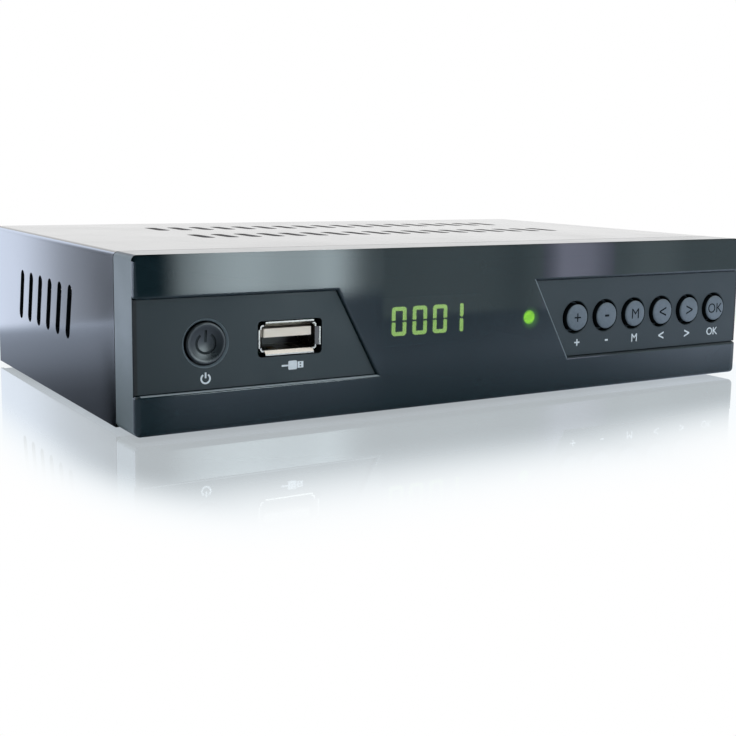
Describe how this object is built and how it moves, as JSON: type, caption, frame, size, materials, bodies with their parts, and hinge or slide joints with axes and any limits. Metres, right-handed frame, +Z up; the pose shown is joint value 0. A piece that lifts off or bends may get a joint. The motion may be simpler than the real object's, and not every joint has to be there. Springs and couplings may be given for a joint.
{
  "type": "satellite tv receiver",
  "caption": "Low rectangular set-top box with a glossy smoked front plate, a round power button, a row of round keys, a USB socket, a lit digit display and a slotted steel cover.",
  "frame": {"origin": "middle of the bounding box's bottom face, on the surface that the rubber feet stand on", "axes": "+X to the receiver's right side seen from the front, +Y from the front plate to the rear connectors, +Z up"},
  "size_m": [0.168, 0.115, 0.037],
  "materials": {
    "zinc_steel": "zinc-plated sheet, fine spangle",
    "gloss_black_steel": "gloss black enamel",
    "bezel_plastic": "fine-textured ABS",
    "smoked_acrylic": "polished smoked acrylic",
    "rubber": "matt black rubber",
    "circuit_board": "green solder mask",
    "black_plastic": "moulded black nylon",
    "nickel_steel": "nickel plate",
    "nickel_brass": "nickel-plated brass",
    "white_plastic": "white nylon",
    "gold_contact": "gold flash",
    "lit_segments": "emissive light-green segments",
    "green_lamp": "emissive green lamp and clear guide",
    "tinned_steel": "bright tin plate",
    "orange_plastic": "orange insulator",
    "screw_steel": "nickel-plated screw",
    "chip_black": "moulded epoxy",
    "heatsink_aluminium": "extruded, satin",
    "can_sleeve": "shrink sleeve",
    "button_plastic": "satin black ABS",
    "switch_plastic": "plunger nylon"
  },
  "bodies": {
    "case": {"bottom_chassis": "zinc_steel", "top_cover": "gloss_black_steel", "front_bezel": "bezel_plastic", "front_window": "smoked_acrylic", "rubber_feet": "rubber", "front_board": "circuit_board", "board_link": "black_plastic", "usb_shell": "nickel_steel", "usb_tongue": "white_plastic", "usb_contacts": "gold_contact", "display_module": "black_plastic", "display_segments": "lit_segments", "status_led": "green_lamp", "status_light_pipe": "green_lamp", "ir_receiver": "black_plastic", "main_board": "circuit_board", "tuner_can": "tinned_steel", "f_insulators": "white_plastic", "hdmi_shell": "nickel_steel", "hdmi_tongue": "black_plastic", "scart_socket": "black_plastic", "scart_contacts": "gold_contact", "digital_jack_shell": "nickel_steel", "digital_jack_core": "orange_plastic", "dc_inlet": "black_plastic", "dc_pin": "nickel_steel", "cover_screws": "screw_steel", "front_board_screws": "screw_steel", "main_board_screws": "screw_steel", "switch_power": "tinned_steel", "main_processor": "chip_black", "heatsink": "heatsink_aluminium", "memory_chip": "chip_black", "flash_chip": "chip_black", "inductors": "chip_black", "crystal": "tinned_steel", "capacitors": "can_sleeve", "lnb_input": "nickel_brass", "lnb_output": "nickel_brass", "switch_plus": "tinned_steel", "switch_minus": "tinned_steel", "switch_menu": "tinned_steel", "switch_left": "tinned_steel", "switch_right": "tinned_steel", "switch_ok": "tinned_steel"},
    "power_key": {"power_button": "button_plastic", "plunger_power": "switch_plastic"},
    "plus_key": {"key_plus": "button_plastic", "plunger_plus": "switch_plastic"},
    "minus_key": {"key_minus": "button_plastic", "plunger_minus": "switch_plastic"},
    "menu_key": {"key_menu": "button_plastic", "plunger_menu": "switch_plastic"},
    "left_key": {"key_left": "button_plastic", "plunger_left": "switch_plastic"},
    "right_key": {"key_right": "button_plastic", "plunger_right": "switch_plastic"},
    "ok_key": {"key_ok": "button_plastic", "plunger_ok": "switch_plastic"}
  },
  "joints": [
    {"name": "power_press", "type": "slide", "parent": "case", "child": "power_key", "axis": [0, 1, 0], "range_m": [0, 0.00035], "stiffness_N_per_m": 1500},
    {"name": "plus_press", "type": "slide", "parent": "case", "child": "plus_key", "axis": [0, 1, 0], "range_m": [0, 0.00035], "stiffness_N_per_m": 1500},
    {"name": "minus_press", "type": "slide", "parent": "case", "child": "minus_key", "axis": [0, 1, 0], "range_m": [0, 0.00035], "stiffness_N_per_m": 1500},
    {"name": "menu_press", "type": "slide", "parent": "case", "child": "menu_key", "axis": [0, 1, 0], "range_m": [0, 0.00035], "stiffness_N_per_m": 1500},
    {"name": "left_press", "type": "slide", "parent": "case", "child": "left_key", "axis": [0, 1, 0], "range_m": [0, 0.00035], "stiffness_N_per_m": 1500},
    {"name": "right_press", "type": "slide", "parent": "case", "child": "right_key", "axis": [0, 1, 0], "range_m": [0, 0.00035], "stiffness_N_per_m": 1500},
    {"name": "ok_press", "type": "slide", "parent": "case", "child": "ok_key", "axis": [0, 1, 0], "range_m": [0, 0.00035], "stiffness_N_per_m": 1500}
  ]
}
